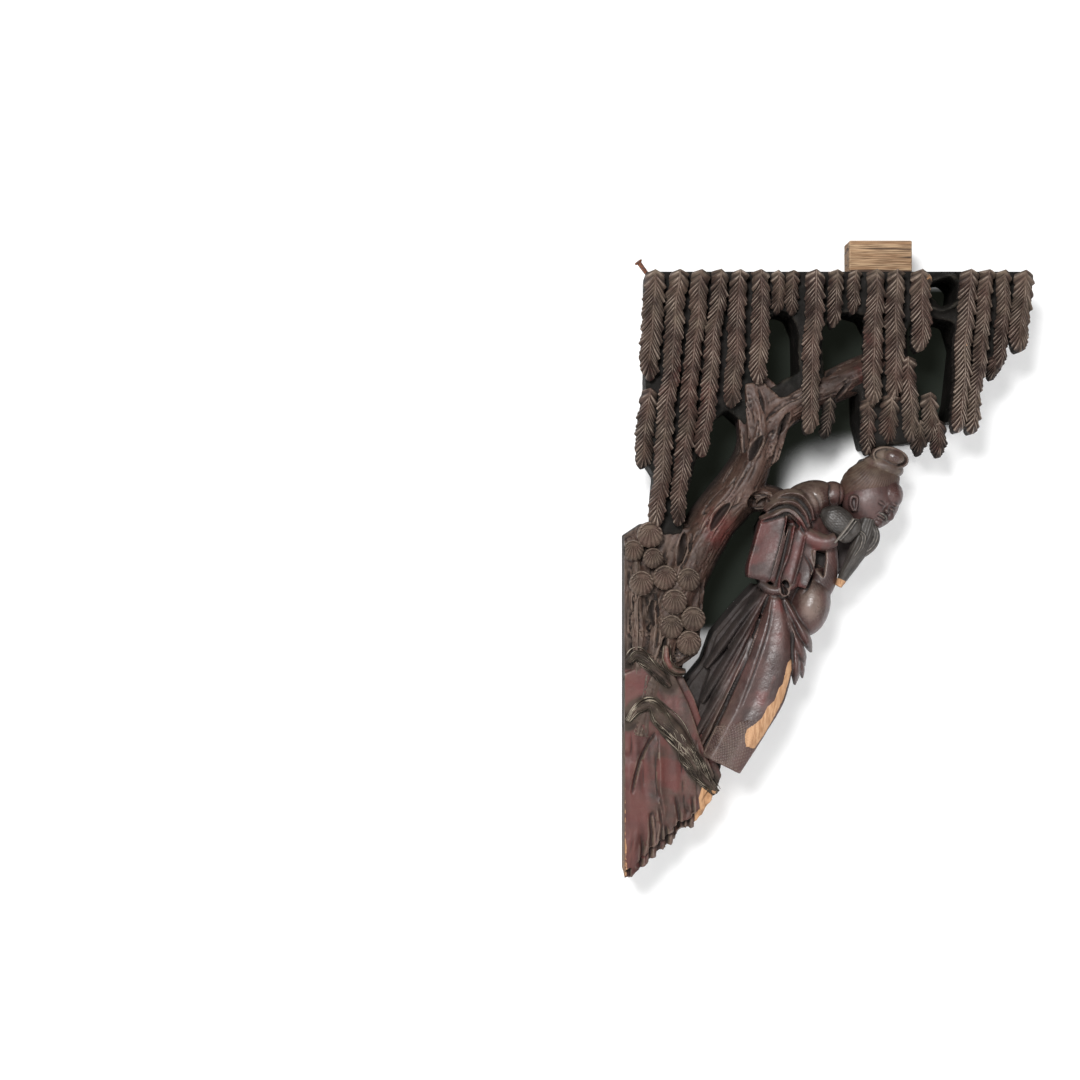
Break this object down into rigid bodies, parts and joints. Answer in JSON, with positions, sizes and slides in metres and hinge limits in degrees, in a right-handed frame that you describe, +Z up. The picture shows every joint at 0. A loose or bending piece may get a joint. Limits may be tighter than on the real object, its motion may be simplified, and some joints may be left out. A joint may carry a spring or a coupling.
{
  "type": "carved corbel",
  "caption": "Carved timber corbel for the corner of a post and beam: hanging fir sprays over a gnarled trunk with cones, and a robed, bearded figure seated against it.",
  "frame": {"origin": "on the flat face that bears on the post, 300 mm below the flat top and 100 mm above the foot's tip, in the middle of the depth", "axes": "+X out from the post, +Z up to the beam, the carved side faces -Y and the plain back +Y"},
  "size_m": [0.271, 0.0705, 0.4225],
  "materials": {
    "lacquered_wood": "worn dark red-brown lacquer, dusty in the carving and rubbed to bare wood at the edges",
    "bare_wood": "dry bare timber with long grain",
    "rusted_iron": "rusted"
  },
  "bodies": {
    "root": {"corbel": "lacquered_wood", "tenon": "bare_wood", "nail": "rusted_iron"}
  },
  "joints": []
}
